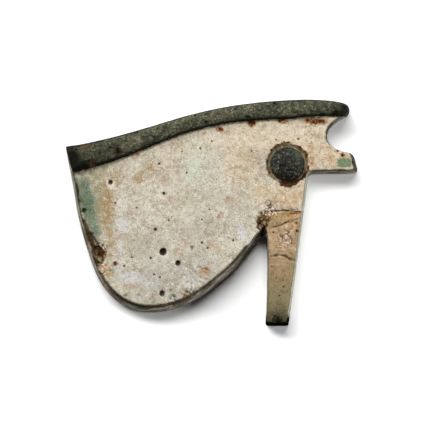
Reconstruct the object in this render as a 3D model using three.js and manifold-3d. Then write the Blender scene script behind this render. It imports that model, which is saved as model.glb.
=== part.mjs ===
// Wedjat eye amulet of faience, lying face up on its flat back.
// Millimetres, +Z up. +X runs from the cheek to the tab, +Y from the foot of the leg to the brow.

import * as THREE from 'three';
import { mergeVertices } from 'three/addons/utils/BufferGeometryUtils.js';
import Module from 'manifold-3d';

const wasm = await Module();
wasm.setup();

// The slab
const eyeWidth = 60;
const eyeHeight = 46.5;
const plateThickness = 6;
const backRounding = 0.3;
const legFootWidth = 4.8;
const legRootWidth = 9.0;
const tabEndHeight = 4.1;
const tabEndSlant = 0.95;

// Lean of the walls: how far the top edge stands in from the outline, side by side
const cornerDraft = 0.3;
const cheekDraft = 0.95;
const crotchDraft = 0.4;
const legInnerDraft = 0.35;
const footDraft = 0.6;
const legOuterDraft = 0.45;
const tabDraft = 0.4;
const tabEndDraft = 0.7;
const notchDraft = 0.25;
const browEdgeDraft = 0.45;

// Corners of the slab
const browCornerRadius = 0.7;
const crotchRadius = 0.4;
const footRadius = 0.5;
const tabRootRadius = 0.9;
const tabRadius = 1.1;
const browTipRadius = 0.8;

// The brow strip
const browHeight = 2.1;
const browLeftWidth = 5.4;
const browShoulderWidth = 4.5;
const browMiddleWidth = 3.4;
const browRightWidth = 3.8;
const browTipWidth = 2.9;
const browTipOverrun = 1.0;
const browFullness = 0.75;

// The pupil and its seat, with its place in hundredths of the eye
const pupilPlace = { across: 76.2, up: 70.8 };
const pupilRadius = 3.6;
const pupilRise = 1.9;
const pupilSideHeight = 1.0;
const seatDepth = 0.8;
const seatClearance = 0.3;
const seatRimWidth = 0.4;

// Losses in the top face, with their places in hundredths of the eye
const flakeDepth = 0.35;
const chipPlace = { across: 10.4, up: 34.3 };
const chipTurnDegrees = -64;
const chipLength = 7.2;
const chipWidth = 2.2;
const chipDepth = 0.7;
const footChipPlace = { across: 72, up: 2.4 };
const footChipWidth = 1.2;
const footChipLength = 1.8;
const footChipDepth = 0.5;

// Fineness of the facets
const edgeStep = 1.3;
const cornerSteps = 3;
const browStations = 40;
const browTipStations = 6;
const browSectionSteps = 8;
const pupilSides = 36;
const pupilDomeSteps = 6;
const pitSides = 10;
const pitRings = 6;

// Wall profile: height up the wall against the share of the draft reached there
const wallProfile = [
  { rise: 0.12, lean: 0 },
  { rise: 0.45, lean: 0.12 },
  { rise: 0.75, lean: 0.5 },
  { rise: 0.93, lean: 0.86 },
  { rise: 1, lean: 1 },
];

// Gas bubbles burst open in the top face: place in hundredths of the eye, mouth and depth in mm
const pits = [
  { across: 16.0, up: 62.9, mouth: 1.0, depth: 0.9 },
  { across: 7.0, up: 50.5, mouth: 1.0, depth: 0.8 },
  { across: 31.3, up: 42.1, mouth: 0.75, depth: 0.7 },
  { across: 33.9, up: 32.3, mouth: 1.6, depth: 1.2 },
  { across: 39.0, up: 27.3, mouth: 1.2, depth: 1.0 },
  { across: 43.8, up: 33.7, mouth: 1.2, depth: 0.4 },
  { across: 33.6, up: 14.0, mouth: 1.2, depth: 0.9 },
  { across: 36.5, up: 15.1, mouth: 0.9, depth: 0.35 },
  { across: 17.6, up: 26.9, mouth: 1.0, depth: 0.4 },
];

// A place on the eye, in hundredths of its width from the left and of its height from the foot
function place(across, up) {
  return new THREE.Vector2(eyeWidth * across / 100, eyeHeight * up / 100);
}

// Landmarks along one side of the slab, with the draft of the wall at each
function side(landmarks, draft, startDraft = draft, endDraft = draft) {
  const points = landmarks.map(([across, up]) => place(across, up));
  const drafts = points.map(() => draft);
  drafts[0] = startDraft;
  drafts[drafts.length - 1] = endDraft;
  return { points, drafts };
}

// The sides of the slab, anticlockwise from the brow's left corner, each with the corner at its end
function slabSides() {
  const cheek = side([[0, 79.7], [2.6, 62], [4.9, 45.9], [10, 24.8], [15, 14.4], [21.2, 8.4], [28.3, 6],
    [36.8, 7.2], [46.2, 12.5], [57.2, 23.6], [63.6, 33], [66.9, 39], [68.5, 42.3]],
    cheekDraft, cornerDraft, crotchDraft);
  const legInner = side([[68.5, 42.3], [69.1, 36], [69.1, 18], [68.5, 0]], legInnerDraft);
  const footLeft = legInner.points[legInner.points.length - 1];
  const footRight = footLeft.clone().add(new THREE.Vector2(legFootWidth, 0));
  const tabRoot = new THREE.Vector2(footLeft.x + legRootWidth, place(0, 67).y);
  const tabLow = place(100.5, 67.3);
  const tabHigh = tabLow.clone().add(new THREE.Vector2(-tabEndSlant, tabEndHeight));
  const notch = side([[93.8, 77.3], [90.5, 80.6], [89.8, 84], [90.6, 87], [93.3, 90.3], [96.7, 92.3]],
    notchDraft);
  const browTip = side([[96.7, 92.3], [97.6, 95.2], [96.4, 98.2]], notchDraft);
  const top = side([[96.4, 98.2], [92.2, 99.4], [85.8, 100], [79.7, 100], [67.3, 99], [55, 96.9],
    [42.7, 93.4], [30.3, 88.7], [18, 84.2], [5.7, 80.6], [0, 79.7]], browEdgeDraft);
  notch.points.unshift(tabHigh);
  notch.drafts.unshift(notchDraft);
  const straight = (from, to, draft) => ({ points: [from, to], drafts: [draft, draft] });
  return [
    { ...cheek, corner: crotchRadius },
    { ...legInner, corner: footRadius },
    { ...straight(footLeft, footRight, footDraft), corner: footRadius },
    { ...straight(footRight, tabRoot, legOuterDraft), corner: tabRootRadius },
    { ...straight(tabRoot, tabLow, tabDraft), corner: tabRadius },
    { ...straight(tabLow, tabHigh, tabEndDraft), corner: tabRadius },
    { ...notch, corner: browTipRadius },
    { ...browTip, corner: browTipRadius },
    { ...top, corner: browCornerRadius },
  ];
}

function curveThrough(points) {
  return points.length > 2 ? new THREE.SplineCurve(points) : new THREE.LineCurve(points[0], points[1]);
}

// Unit vector pointing into the slab, square to a direction of travel
function inward(direction) {
  return new THREE.Vector2(-direction.y, direction.x).normalize();
}

// Where two lines meet, each moved in square to itself
function meeting(corner, before, beforeShift, after, afterShift) {
  const beforeIn = inward(before);
  const afterIn = inward(after);
  const start = corner.clone().addScaledVector(beforeIn, beforeShift);
  const target = corner.clone().addScaledVector(afterIn, afterShift);
  const reach = target.sub(start).dot(afterIn) / before.dot(afterIn);
  return start.addScaledVector(before, reach);
}

// The landmarks of every side moved in by a share of their drafts
function leanedSides(sides, lean, extra) {
  const curves = sides.map((item) => curveThrough(item.points));
  return sides.map((item, number) => {
    const before = (number + sides.length - 1) % sides.length;
    const after = (number + 1) % sides.length;
    const last = item.points.length - 1;
    const shift = (index) => item.drafts[index] * lean + extra;
    const points = item.points.map((point, index) => {
      const tangent = curves[number].getTangent(index / last);
      return point.clone().addScaledVector(inward(tangent), shift(index));
    });
    const beforeDrafts = sides[before].drafts;
    points[0] = meeting(item.points[0], curves[before].getTangent(1),
      beforeDrafts[beforeDrafts.length - 1] * lean + extra, curves[number].getTangent(0), shift(0));
    points[last] = meeting(item.points[last], curves[number].getTangent(1), shift(last),
      curves[after].getTangent(0), sides[after].drafts[0] * lean + extra);
    return points;
  });
}

// The outline as a ring of points, with its corners rounded, the same count at every lean
function outline(sides, lean, extra = 0) {
  const leaned = leanedSides(sides, lean, extra).map(curveThrough);
  const ring = [];
  leaned.forEach((curve, number) => {
    const before = sides[(number + sides.length - 1) % sides.length].corner;
    const after = sides[number].corner;
    const fullRun = curveThrough(sides[number].points).getLength() - before - after;
    const straight = sides[number].points.length === 2;
    const steps = straight ? 1 : Math.max(2, Math.round(fullRun / edgeStep));
    const length = curve.getLength();
    const from = before / length;
    const to = 1 - after / length;
    for (let step = 0; step <= steps; step += 1) {
      ring.push(curve.getPointAt(from + (to - from) * step / steps));
    }
    const next = leaned[(number + 1) % leaned.length];
    const bend = new THREE.QuadraticBezierCurve(
      curve.getPointAt(to), curve.getPoint(1), next.getPointAt(after / next.getLength()));
    for (let step = 1; step < cornerSteps; step += 1) {
      ring.push(bend.getPoint(step / cornerSteps));
    }
  });
  return ring;
}

// A closed solid through rings of equal count, with flat caps triangulated on the first and last ring
function loft(rings, capTriangles) {
  const count = rings[0].length;
  const positions = rings.flat().flatMap((point) => [point.x, point.y, point.z]);
  const indices = [];
  for (let level = 0; level < rings.length - 1; level += 1) {
    for (let index = 0; index < count; index += 1) {
      const here = level * count + index;
      const beside = level * count + (index + 1) % count;
      indices.push(here, beside, beside + count, here, beside + count, here + count);
    }
  }
  const top = (rings.length - 1) * count;
  for (const [a, b, c] of capTriangles) {
    indices.push(c, b, a, top + a, top + b, top + c);
  }
  const geometry = new THREE.BufferGeometry();
  geometry.setAttribute('position', new THREE.Float32BufferAttribute(positions, 3));
  geometry.setIndex(indices);
  return geometry;
}

function toSolid(geometry) {
  const bare = geometry.clone();
  bare.deleteAttribute('normal');
  bare.deleteAttribute('uv');
  const merged = mergeVertices(bare, 1e-5);
  return new wasm.Manifold(new wasm.Mesh({
    numProp: 3,
    vertProperties: new Float32Array(merged.attributes.position.array),
    triVerts: new Uint32Array(merged.index.array),
  }));
}

function toGeometry(solid) {
  const mesh = solid.getMesh();
  const geometry = new THREE.BufferGeometry();
  geometry.setAttribute('position', new THREE.BufferAttribute(mesh.vertProperties, 3));
  geometry.setIndex(new THREE.BufferAttribute(mesh.triVerts, 1));
  geometry.computeVertexNormals();
  return geometry;
}

// The blank slab: flat back, slightly swelling walls and a crisp top edge
function slabBlank(sides) {
  const levels = [{ height: 0, ring: outline(sides, 0, backRounding) }];
  for (const { rise, lean } of wallProfile) {
    levels.push({ height: plateThickness * rise, ring: outline(sides, lean) });
  }
  const raised = ({ height, ring }) => ring.map((point) => new THREE.Vector3(point.x, point.y, height));
  const rings = levels.map(raised);
  const capTriangles = THREE.ShapeUtils.triangulateShape(levels[levels.length - 1].ring, []);
  return loft(rings, capTriangles);
}

// The round recess that the pupil sits in, widening upwards
function pupilSeat(centre) {
  const floorRadius = pupilRadius + seatClearance;
  const slope = seatRimWidth / seatDepth;
  const cutHeight = seatDepth * 2;
  const cut = new THREE.CylinderGeometry(floorRadius + slope * cutHeight, floorRadius, cutHeight, pupilSides);
  cut.rotateX(Math.PI / 2);
  cut.translate(centre.x, centre.y, plateThickness - seatDepth + cutHeight / 2);
  return cut;
}

// A shallow hollow with an oval mouth in the top face
function hollowCut(centre, length, width, depth, turnDegrees) {
  const cut = new THREE.SphereGeometry(1, pitSides, pitRings);
  cut.scale(length / 2, width / 2, depth);
  cut.rotateZ(THREE.MathUtils.degToRad(turnDegrees));
  cut.translate(centre.x, centre.y, plateThickness);
  return cut;
}

// A burst bubble: a ball squashed or stretched to its depth, with its widest part at the top face
function pitCut({ across, up, mouth, depth }) {
  return hollowCut(place(across, up), mouth, mouth, depth, 0);
}

// The patch at the head of the leg where a flake of the skin has come away
function flakeCut() {
  const corners = [[68.3, 50], [75.4, 50.6], [81.6, 49.6], [81, 47.2], [76.7, 45.3], [72, 43], [69.2, 43.6]];
  const shape = new THREE.Shape(corners.map(([across, up]) => place(across, up)));
  const cut = new THREE.ExtrudeGeometry(shape, { depth: flakeDepth * 2, bevelEnabled: false });
  cut.translate(0, 0, plateThickness - flakeDepth);
  return cut;
}

// The long chip in the cheek's left edge
function cheekChip() {
  return hollowCut(place(chipPlace.across, chipPlace.up), chipLength, chipWidth, chipDepth, chipTurnDegrees);
}

// The small loss in the face of the leg's foot
function footChip() {
  const centre = place(footChipPlace.across, footChipPlace.up);
  return hollowCut(centre, footChipWidth, footChipLength, footChipDepth, 0);
}

function eyePlateGeometry(sides, pupilCentre) {
  const cuts = [pupilSeat(pupilCentre), flakeCut(), cheekChip(), footChip(), ...pits.map(pitCut)];
  const worked = cuts.reduce((solid, cut) => solid.subtract(toSolid(cut)), toSolid(slabBlank(sides)));
  return toGeometry(worked);
}

// Widths of the brow at even steps from its right tip to its left end
const browStationWidths = [
  browTipWidth, browRightWidth, browMiddleWidth, browMiddleWidth, browShoulderWidth, browLeftWidth,
];
const browWidths = new THREE.SplineCurve(
  browStationWidths.map((width, station) => new THREE.Vector2(station, width)));

// One section of the brow: a full half-round standing on the slab, across from the outer edge
function browSection(outer, across, width, shrink) {
  const ring = [];
  for (let step = 0; step <= browSectionSteps; step += 1) {
    const turn = Math.PI * step / browSectionSteps;
    const reach = width / 2 * (1 - Math.cos(turn) * shrink);
    const height = browHeight * shrink * Math.sin(turn) ** browFullness;
    const point = outer.clone().addScaledVector(across, reach);
    ring.push(new THREE.Vector3(point.x, point.y, plateThickness + Math.max(height, 0)));
  }
  ring[browSectionSteps].z = plateThickness;
  return ring;
}

// The brow follows the slab's top edge, rounds off at the tip and is cut off along the cheek's side
function browGeometry(sides) {
  const topSide = sides.length - 1;
  const edges = leanedSides(sides, 1, 0);
  const edge = curveThrough(edges[topSide]);
  const length = edge.getLength();
  const cheekLine = edges[0][1].clone().sub(edges[0][0]).normalize();
  const endTurn = browLeftWidth / length;
  const rings = [];
  for (let step = 1; step <= browTipStations; step += 1) {
    const turn = Math.PI / 2 * step / browTipStations;
    const back = browTipWidth / 2 * (1 - Math.cos(turn)) - browTipOverrun;
    const start = edge.getPointAt(Math.max(back, 0) / length);
    const tangent = edge.getTangentAt(Math.max(back, 0) / length);
    const outer = start.addScaledVector(tangent, Math.min(back, 0));
    rings.push(browSection(outer, inward(tangent), browTipWidth, Math.sin(turn)));
  }
  const first = (browTipWidth / 2 - browTipOverrun) / length;
  for (let step = 1; step <= browStations; step += 1) {
    const along = first + (1 - first) * step / browStations;
    const across = inward(edge.getTangentAt(along));
    const turned = THREE.MathUtils.smoothstep(along, 1 - endTurn, 1);
    across.lerp(cheekLine, turned).normalize();
    rings.push(browSection(edge.getPointAt(along), across, browWidths.getPoint(along).y, 1));
  }
  const capTriangles = [];
  for (let index = 1; index < browSectionSteps; index += 1) {
    capTriangles.push([0, index, index + 1]);
  }
  return loft(rings.reverse(), capTriangles);
}

// The pupil: a pellet with a short upright side under a low dome
function pupilGeometry() {
  const floor = plateThickness - seatDepth;
  const shoulder = floor + pupilSideHeight;
  const crown = plateThickness + pupilRise;
  const profile = [new THREE.Vector2(0, floor), new THREE.Vector2(pupilRadius, floor)];
  for (let step = 0; step < pupilDomeSteps; step += 1) {
    const turn = Math.PI / 2 * step / pupilDomeSteps;
    const height = shoulder + (crown - shoulder) * Math.sin(turn);
    profile.push(new THREE.Vector2(pupilRadius * Math.cos(turn), height));
  }
  profile.push(new THREE.Vector2(0, crown));
  return new THREE.LatheGeometry(profile, pupilSides).rotateX(Math.PI / 2);
}

function paleFaience() {
  return new THREE.MeshStandardMaterial({ color: 0xc9c2ae, roughness: 0.5, metalness: 0 });
}

function darkFaience() {
  return new THREE.MeshStandardMaterial({ color: 0x4a4a3c, roughness: 0.6, metalness: 0 });
}

function pupilGlaze() {
  return new THREE.MeshStandardMaterial({ color: 0x2e322f, roughness: 0.35, metalness: 0 });
}

function namedMesh(name, geometry, material) {
  const mesh = new THREE.Mesh(geometry, material);
  mesh.name = name;
  return mesh;
}

const sides = slabSides();
const pupilCentre = place(pupilPlace.across, pupilPlace.up);

const eye = new THREE.Group();
eye.add(namedMesh('eye_plate', eyePlateGeometry(sides, pupilCentre), paleFaience()));
eye.add(namedMesh('brow', browGeometry(sides), darkFaience()));

const pupil = namedMesh('pupil', pupilGeometry(), pupilGlaze());
pupil.position.set(pupilCentre.x, pupilCentre.y, 0);
eye.add(pupil);

// The origin is under the middle of the eye, on the surface it lies on
const middle = new THREE.Box3().setFromObject(eye).getCenter(new THREE.Vector3());
eye.position.set(-middle.x, -middle.y, 0);

export default eye;
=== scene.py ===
# %% [markdown]
# # A wedjat eye in faience
# The amulet is a flat slab of pale faience, with a rolled dark strip for the brow and a dark domed
# pellet for the pupil. The solids already hold its true sizes. This lesson gives each of the three
# pieces its worn, pitted and stained surface, and photographs it from above on a pale table.
#
# The first step loads the solids. They are the fixed frame that every later piece is fitted to.

# %% Load the solids
import math

import bpy
from mathutils import Matrix, Vector, kdtree, noise
from mathutils.bvhtree import BVHTree


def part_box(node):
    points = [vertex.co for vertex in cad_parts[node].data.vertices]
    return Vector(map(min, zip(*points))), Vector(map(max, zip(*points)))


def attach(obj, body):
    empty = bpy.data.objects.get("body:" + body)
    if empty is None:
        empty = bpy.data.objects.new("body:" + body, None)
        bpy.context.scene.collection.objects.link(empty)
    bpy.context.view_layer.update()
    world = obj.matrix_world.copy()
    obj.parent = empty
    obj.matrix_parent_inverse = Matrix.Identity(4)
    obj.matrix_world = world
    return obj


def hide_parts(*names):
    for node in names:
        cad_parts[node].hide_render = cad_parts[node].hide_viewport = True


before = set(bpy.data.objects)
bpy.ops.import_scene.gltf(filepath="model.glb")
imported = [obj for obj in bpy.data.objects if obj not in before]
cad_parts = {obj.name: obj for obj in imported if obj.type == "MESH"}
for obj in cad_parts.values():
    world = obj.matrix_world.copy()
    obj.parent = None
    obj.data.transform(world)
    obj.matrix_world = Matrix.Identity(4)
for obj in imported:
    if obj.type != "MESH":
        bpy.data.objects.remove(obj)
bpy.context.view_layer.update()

# %% [markdown]
# Everything below is thought of in millimetres, because the eye is only 60 mm long, and turned into
# metres at the last moment. Places on the eye are read in the photograph's pixels, so one helper
# turns such a place into a point on the slab's top face, through the same camera that takes the
# picture: a tall point seems to move away from the camera, and the helper takes that back out.

# %% Units and places
MM = 0.001
PHOTO_SIDE = 432
PHOTO_MIDDLE = (211.2, 212.3)
MM_PER_PIXEL = 0.2048
CAMERA_DISTANCE = 700.0
CAMERA_LEAN = Vector((0.032, -0.07, 1.0))
AIM_HEIGHT = 3.0

FACE_HEIGHT = (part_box("eye_plate")[1] / MM).z
brow_low, brow_high = (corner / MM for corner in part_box("brow"))
pupil_low, pupil_high = (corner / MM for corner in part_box("pupil"))
pupil_middle = (pupil_low + pupil_high) / 2
PUPIL_RADIUS = (pupil_high.x - pupil_low.x) / 2


def on_face(across, down):
    """The point of the top face, in mm, that the photograph shows at this pixel."""
    rise = FACE_HEIGHT - AIM_HEIGHT
    closer = 1 - rise / CAMERA_DISTANCE
    x = (across - PHOTO_MIDDLE[0]) * MM_PER_PIXEL * closer + CAMERA_LEAN.x * rise
    y = (PHOTO_MIDDLE[1] - down) * MM_PER_PIXEL * closer + CAMERA_LEAN.y * rise
    return Vector((x, y))


print("the pupil stands at", [round(value, 2) for value in pupil_middle[:2]], "mm")

# %% [markdown]
# Each piece starts as a copy of its solid. The solid's mesh is loose triangles, so its doubles are
# merged first. A voxel remesh then covers it in even small squares, which is what the carving and
# the vertex colours need, and a shrinkwrap back to the solid makes its edges crisp again.

# %% Even meshes over the solids
MERGE_REACH = 0.002


def only(piece):
    """Leaves this piece alone selected and active."""
    bpy.ops.object.select_all(action="DESELECT")
    piece.select_set(True)
    bpy.context.view_layer.objects.active = piece


def apply_modifier(piece, kind, **settings):
    only(piece)
    modifier = piece.modifiers.new(kind.lower(), kind)
    for key, value in settings.items():
        setattr(modifier, key, value)
    bpy.ops.object.modifier_apply(modifier=modifier.name)


def merged_copy(node, name):
    piece = bpy.data.objects.new(name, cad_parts[node].data.copy())
    piece.data.materials.clear()
    bpy.context.scene.collection.objects.link(piece)
    only(piece)
    bpy.ops.object.mode_set(mode="EDIT")
    bpy.ops.mesh.select_all(action="SELECT")
    bpy.ops.mesh.remove_doubles(threshold=MERGE_REACH * MM)
    bpy.ops.object.mode_set(mode="OBJECT")
    return piece


def even_piece(node, name, square):
    piece = merged_copy(node, name)
    guide = merged_copy(node, name + "_guide")
    apply_modifier(piece, "REMESH", mode="VOXEL", voxel_size=square * MM, adaptivity=0.0)
    apply_modifier(piece, "SHRINKWRAP", target=guide, wrap_method="NEAREST_SURFACEPOINT")
    bpy.data.objects.remove(guide)
    print(name, "has", len(piece.data.polygons), "squares")
    return piece


PLATE_SQUARE = 0.25
BROW_SQUARE = 0.16
PUPIL_SQUARE = 0.11
plate = even_piece("eye_plate", "plate_surface", PLATE_SQUARE)
brow = even_piece("brow", "brow_surface", BROW_SQUARE)
pupil = even_piece("pupil", "pupil_surface", PUPIL_SQUARE)

# %% [markdown]
# The back lies on the table and was left plain, so its squares can be much larger. Thinning them
# leaves more triangles for the pits of the face. A vertex group tells Decimate where to work.

# %% Thin the plain back
def share_group(piece, name, share_of):
    """A vertex group that holds, for each vertex, the share that share_of gives it."""
    group = piece.vertex_groups.new(name=name)
    for vertex in piece.data.vertices:
        share = share_of(vertex)
        if share > 0:
            group.add([vertex.index], share, "REPLACE")


BACK_BAND = 0.6
BACK_KEPT = 0.66
share_group(plate, "back", lambda vertex: 1.0 if vertex.co.z < BACK_BAND * MM else 0.0)
apply_modifier(plate, "DECIMATE", ratio=BACK_KEPT, vertex_group="back", use_collapse_triangulate=True)
print("the plate now has", len(plate.data.polygons), "faces")

# %% [markdown]
# Faience boils a little in the kiln. Its gas leaves round pits, from pinholes to bubbles over a
# millimetre wide. The large ones are cut in the solid. The pinholes, the burst rings, the cracks and
# the crumbled places are pressed in here. The squares round each of them are divided first, so that
# there are vertices enough to carry so small a form.

# %% Where the small forms lie
PINHOLES = [
    {"at": (150.7, 258.0), "mouth": 0.55}, {"at": (233.2, 240.4), "mouth": 0.5},
    {"at": (202.0, 242.7), "mouth": 0.55}, {"at": (207.3, 248.3), "mouth": 0.45},
    {"at": (163.7, 193.2), "mouth": 0.65}, {"at": (159.1, 163.4), "mouth": 0.55},
    {"at": (200.3, 148.2), "mouth": 0.5}, {"at": (181.9, 150.8), "mouth": 0.4},
    {"at": (168.7, 220.5), "mouth": 0.45}, {"at": (115.2, 202.9), "mouth": 0.45},
    {"at": (124.0, 266.0), "mouth": 0.5}, {"at": (131.9, 257.2), "mouth": 0.45},
    {"at": (160.0, 277.5), "mouth": 0.45}, {"at": (153.8, 274.6), "mouth": 0.45},
    {"at": (201.8, 219.7), "mouth": 0.4}, {"at": (209.5, 209.5), "mouth": 0.4},
    {"at": (186.6, 172.6), "mouth": 0.45}, {"at": (296.6, 231.4), "mouth": 0.5},
    {"at": (273.4, 232.7), "mouth": 0.45}, {"at": (276.2, 139.5), "mouth": 0.4},
    {"at": (298.4, 139.0), "mouth": 0.5}, {"at": (136.4, 207.6), "mouth": 0.4},
    {"at": (211.8, 141.0), "mouth": 0.45}, {"at": (337.8, 151.0), "mouth": 0.45},
    {"at": (251.7, 151.0), "mouth": 0.4}, {"at": (148.2, 168.0), "mouth": 0.35},
    {"at": (276.0, 278.4), "mouth": 0.4}, {"at": (282.8, 280.7), "mouth": 0.36},
    {"at": (283.7, 287.0), "mouth": 0.4}, {"at": (279.2, 296.0), "mouth": 0.42},
    {"at": (271.5, 267.0), "mouth": 0.36}, {"at": (287.0, 291.4), "mouth": 0.34},
]
RINGS = [
    {"at": (287.3, 189.0), "radius": 0.6, "depth": 0.16},
    {"at": (268.0, 203.2), "radius": 0.55, "depth": 0.2},
    {"at": (211.0, 180.4), "radius": 0.45, "depth": 0.1},
    {"at": (172.3, 186.4), "radius": 0.5, "depth": 0.08},
]
ROUGH_PLACES = [
    {"at": (99.5, 249.0), "reach": 2.4, "depth": 0.5}, {"at": (91.0, 236.0), "reach": 1.3, "depth": 0.3},
    {"at": (104.5, 268.0), "reach": 2.8, "depth": 0.24}, {"at": (264.5, 217.0), "reach": 2.0, "depth": 0.55},
    {"at": (262.0, 224.5), "reach": 1.6, "depth": 1.25}, {"at": (272.0, 211.0), "reach": 2.0, "depth": 0.34},
    {"at": (286.0, 212.0), "reach": 1.8, "depth": 0.2}, {"at": (204.3, 270.0), "reach": 1.1, "depth": 0.3},
    {"at": (190.0, 296.0), "reach": 2.2, "depth": 0.4}, {"at": (206.0, 288.0), "reach": 1.8, "depth": 0.3},
    {"at": (172.0, 301.5), "reach": 1.6, "depth": 0.3}, {"at": (342.4, 154.8), "reach": 0.9, "depth": 0.3},
    {"at": (286.0, 240.0), "reach": 2.4, "depth": 0.2}, {"at": (196.0, 278.0), "reach": 4.2, "depth": 0.13},
    {"at": (315.0, 122.0), "reach": 1.9, "depth": 0.2}, {"at": (297.0, 222.0), "reach": 1.6, "depth": 0.16},
]
CRACKS = [
    {"run": [(281, 209.5), (286, 210.5), (291, 210), (297, 210.5), (300.5, 212), (302.5, 215)],
     "width": 0.34, "depth": 0.17},
    {"run": [(270, 229), (274.5, 227), (280, 225.5), (288.6, 221.2)], "width": 0.36, "depth": 0.28},
    {"run": [(270.5, 256.5), (278, 255.6), (286, 256.2), (289, 259), (292, 260.6), (295.5, 260.2)],
     "width": 0.5, "depth": 0.46},
    {"run": [(275, 248.6), (283, 248.6), (288, 246.5), (289.5, 243.5)], "width": 0.3, "depth": 0.22},
    {"run": [(281, 243), (284, 240), (282.5, 237), (286, 234), (289, 236)], "width": 0.28, "depth": 0.2},
    {"run": [(285, 246.5), (287.5, 242), (290, 239), (291, 235)], "width": 0.26, "depth": 0.18},
    {"run": [(281, 252.5), (287, 252), (291.5, 255)], "width": 0.3, "depth": 0.22},
    {"run": [(280, 236), (284, 238), (283, 241), (286, 243.5)], "width": 0.28, "depth": 0.2},
    {"run": [(285, 231), (289, 232.5), (288, 236), (292, 239), (291.5, 243)], "width": 0.28, "depth": 0.2},
    {"run": [(279, 245), (283, 246.5), (286, 249)], "width": 0.26, "depth": 0.18},
    {"run": [(294, 232), (295.5, 237), (293.5, 242), (295, 247)], "width": 0.26, "depth": 0.16},
    {"run": [(284, 276), (288, 278), (286, 282)], "width": 0.26, "depth": 0.14},
    {"run": [(276, 290), (281, 291), (284, 294)], "width": 0.26, "depth": 0.14},
    {"run": [(83.5, 222), (88, 233), (91.5, 242), (95, 250)], "width": 0.95, "depth": 0.42},
    {"run": [(96, 247), (100, 250), (99.5, 254)], "width": 0.9, "depth": 0.7},
    {"run": [(98, 247), (103, 250), (102, 255)], "width": 0.4, "depth": 0.5},
    {"run": [(100.5, 243.5), (104, 246), (105.5, 250)], "width": 0.3, "depth": 0.25},
    {"run": [(240, 152), (246, 156), (251, 158), (256, 162)], "width": 0.28, "depth": 0.12},
]
FINE_MARGIN = 0.3
FORM_DEPTH = 1.4


def polyline(run):
    return [on_face(*place) for place in run]


def distance_to_run(point, places):
    """How far a point is from a line of straight stretches."""
    nearest = float("inf")
    for start, end in zip(places, places[1:]):
        along = end - start
        share = max(0.0, min(1.0, (point - start).dot(along) / along.length_squared))
        nearest = min(nearest, (point - start - along * share).length)
    return nearest


pinholes = [(on_face(*hole["at"]), hole["mouth"] / 2) for hole in PINHOLES]
rings = [(on_face(*ring["at"]), ring["radius"], ring["depth"]) for ring in RINGS]
rough_places = [(on_face(*rough["at"]), rough["reach"], rough["depth"]) for rough in ROUGH_PLACES]
cracks = [(polyline(crack["run"]), crack["width"] / 2, crack["depth"]) for crack in CRACKS]
print("small forms:", len(pinholes), "pinholes,", len(rings), "rings,", len(cracks), "cracks")

# %% [markdown]
# The pupil's seat and the crotch between cheek and leg need fine squares too. The seat is ringed by
# hardened dirt, and the crotch is choked with crumbled paste.

# %% Divide the squares there
PUPIL_PLACE = pupil_middle.xy
CRUST_REACH = 5.2
SEAT_RIM = 4.35
CROTCH = on_face(262.5, 227.0)
RUBBLE_REACH = 2.3


def near_small_form(middle):
    place = middle.xy
    from_pupil = (place - PUPIL_PLACE).length
    if PUPIL_RADIUS - 0.3 < from_pupil < CRUST_REACH or (place - CROTCH).length < RUBBLE_REACH:
        return True
    if any((place - spot).length < radius + FINE_MARGIN for spot, radius in pinholes):
        return True
    if any((place - spot).length < radius + FINE_MARGIN for spot, radius, depth in rings):
        return True
    if any((place - spot).length < reach for spot, reach, depth in rough_places):
        return True
    return any(distance_to_run(place, run) < half + FINE_MARGIN for run, half, depth in cracks)


def divide_where(piece, wanted, cuts):
    """Divides the faces whose middle, in mm, is wanted."""
    only(piece)
    bpy.ops.object.mode_set(mode="EDIT")
    bpy.ops.mesh.select_mode(type="FACE")
    bpy.ops.mesh.select_all(action="DESELECT")
    bpy.ops.object.mode_set(mode="OBJECT")
    for face in piece.data.polygons:
        face.select = wanted(face.center / MM)
    bpy.ops.object.mode_set(mode="EDIT")
    bpy.ops.mesh.subdivide(number_cuts=cuts, smoothness=0.0)
    bpy.ops.object.mode_set(mode="OBJECT")


def fine_place(middle):
    in_crotch = (middle.xy - CROTCH).length < RUBBLE_REACH and middle.z > 2.0
    return in_crotch or (middle.z > FACE_HEIGHT - 1.2 and near_small_form(middle))


divide_where(plate, fine_place, 1)
print("with those squares divided the plate has", len(plate.data.polygons), "faces")

# %% [markdown]
# The carving is done by moving vertices, since a pit or a crack is only a small move of the surface.
# How deep each vertex was pushed is kept as an attribute, because dirt gathers in just those places.
# Noise comes in layers. Each layer is written as its height, the size of its features and its seed,
# and one helper adds a list of layers up.

# %% Helpers for carving
def grain(point, size, seed):
    """Smooth noise from -1 to 1 over features of this size in mm."""
    return noise.noise(Vector((
        point.x / size + seed * 7.3, point.y / size - seed * 3.1, point.z / size + seed)))


def layered(point, layers):
    """The sum of layers of noise, each from 0 to twice its height, in mm."""
    return sum(height * (1 + grain(point, size, seed)) for height, size, seed in layers)


def new_layer(piece, name):
    """An attribute that holds one number for each vertex, for a material to read."""
    return piece.data.attributes.new(name, "FLOAT", "POINT")


def each_vertex(piece):
    """Every vertex, with its normal from before the carving and its point in mm."""
    normals = [vertex.normal.copy() for vertex in piece.data.vertices]
    for vertex, normal in zip(piece.data.vertices, normals):
        yield vertex, normal, vertex.co / MM


def bowl(distance, radius):
    """1 in the middle of a round hollow, 0 from its rim outwards."""
    return math.sqrt(max(0.0, 1.0 - (distance / radius) ** 2))


def soft_step(low, high, value):
    share = max(0.0, min(1.0, (value - low) / (high - low)))
    return share * share * (3 - 2 * share)


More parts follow.
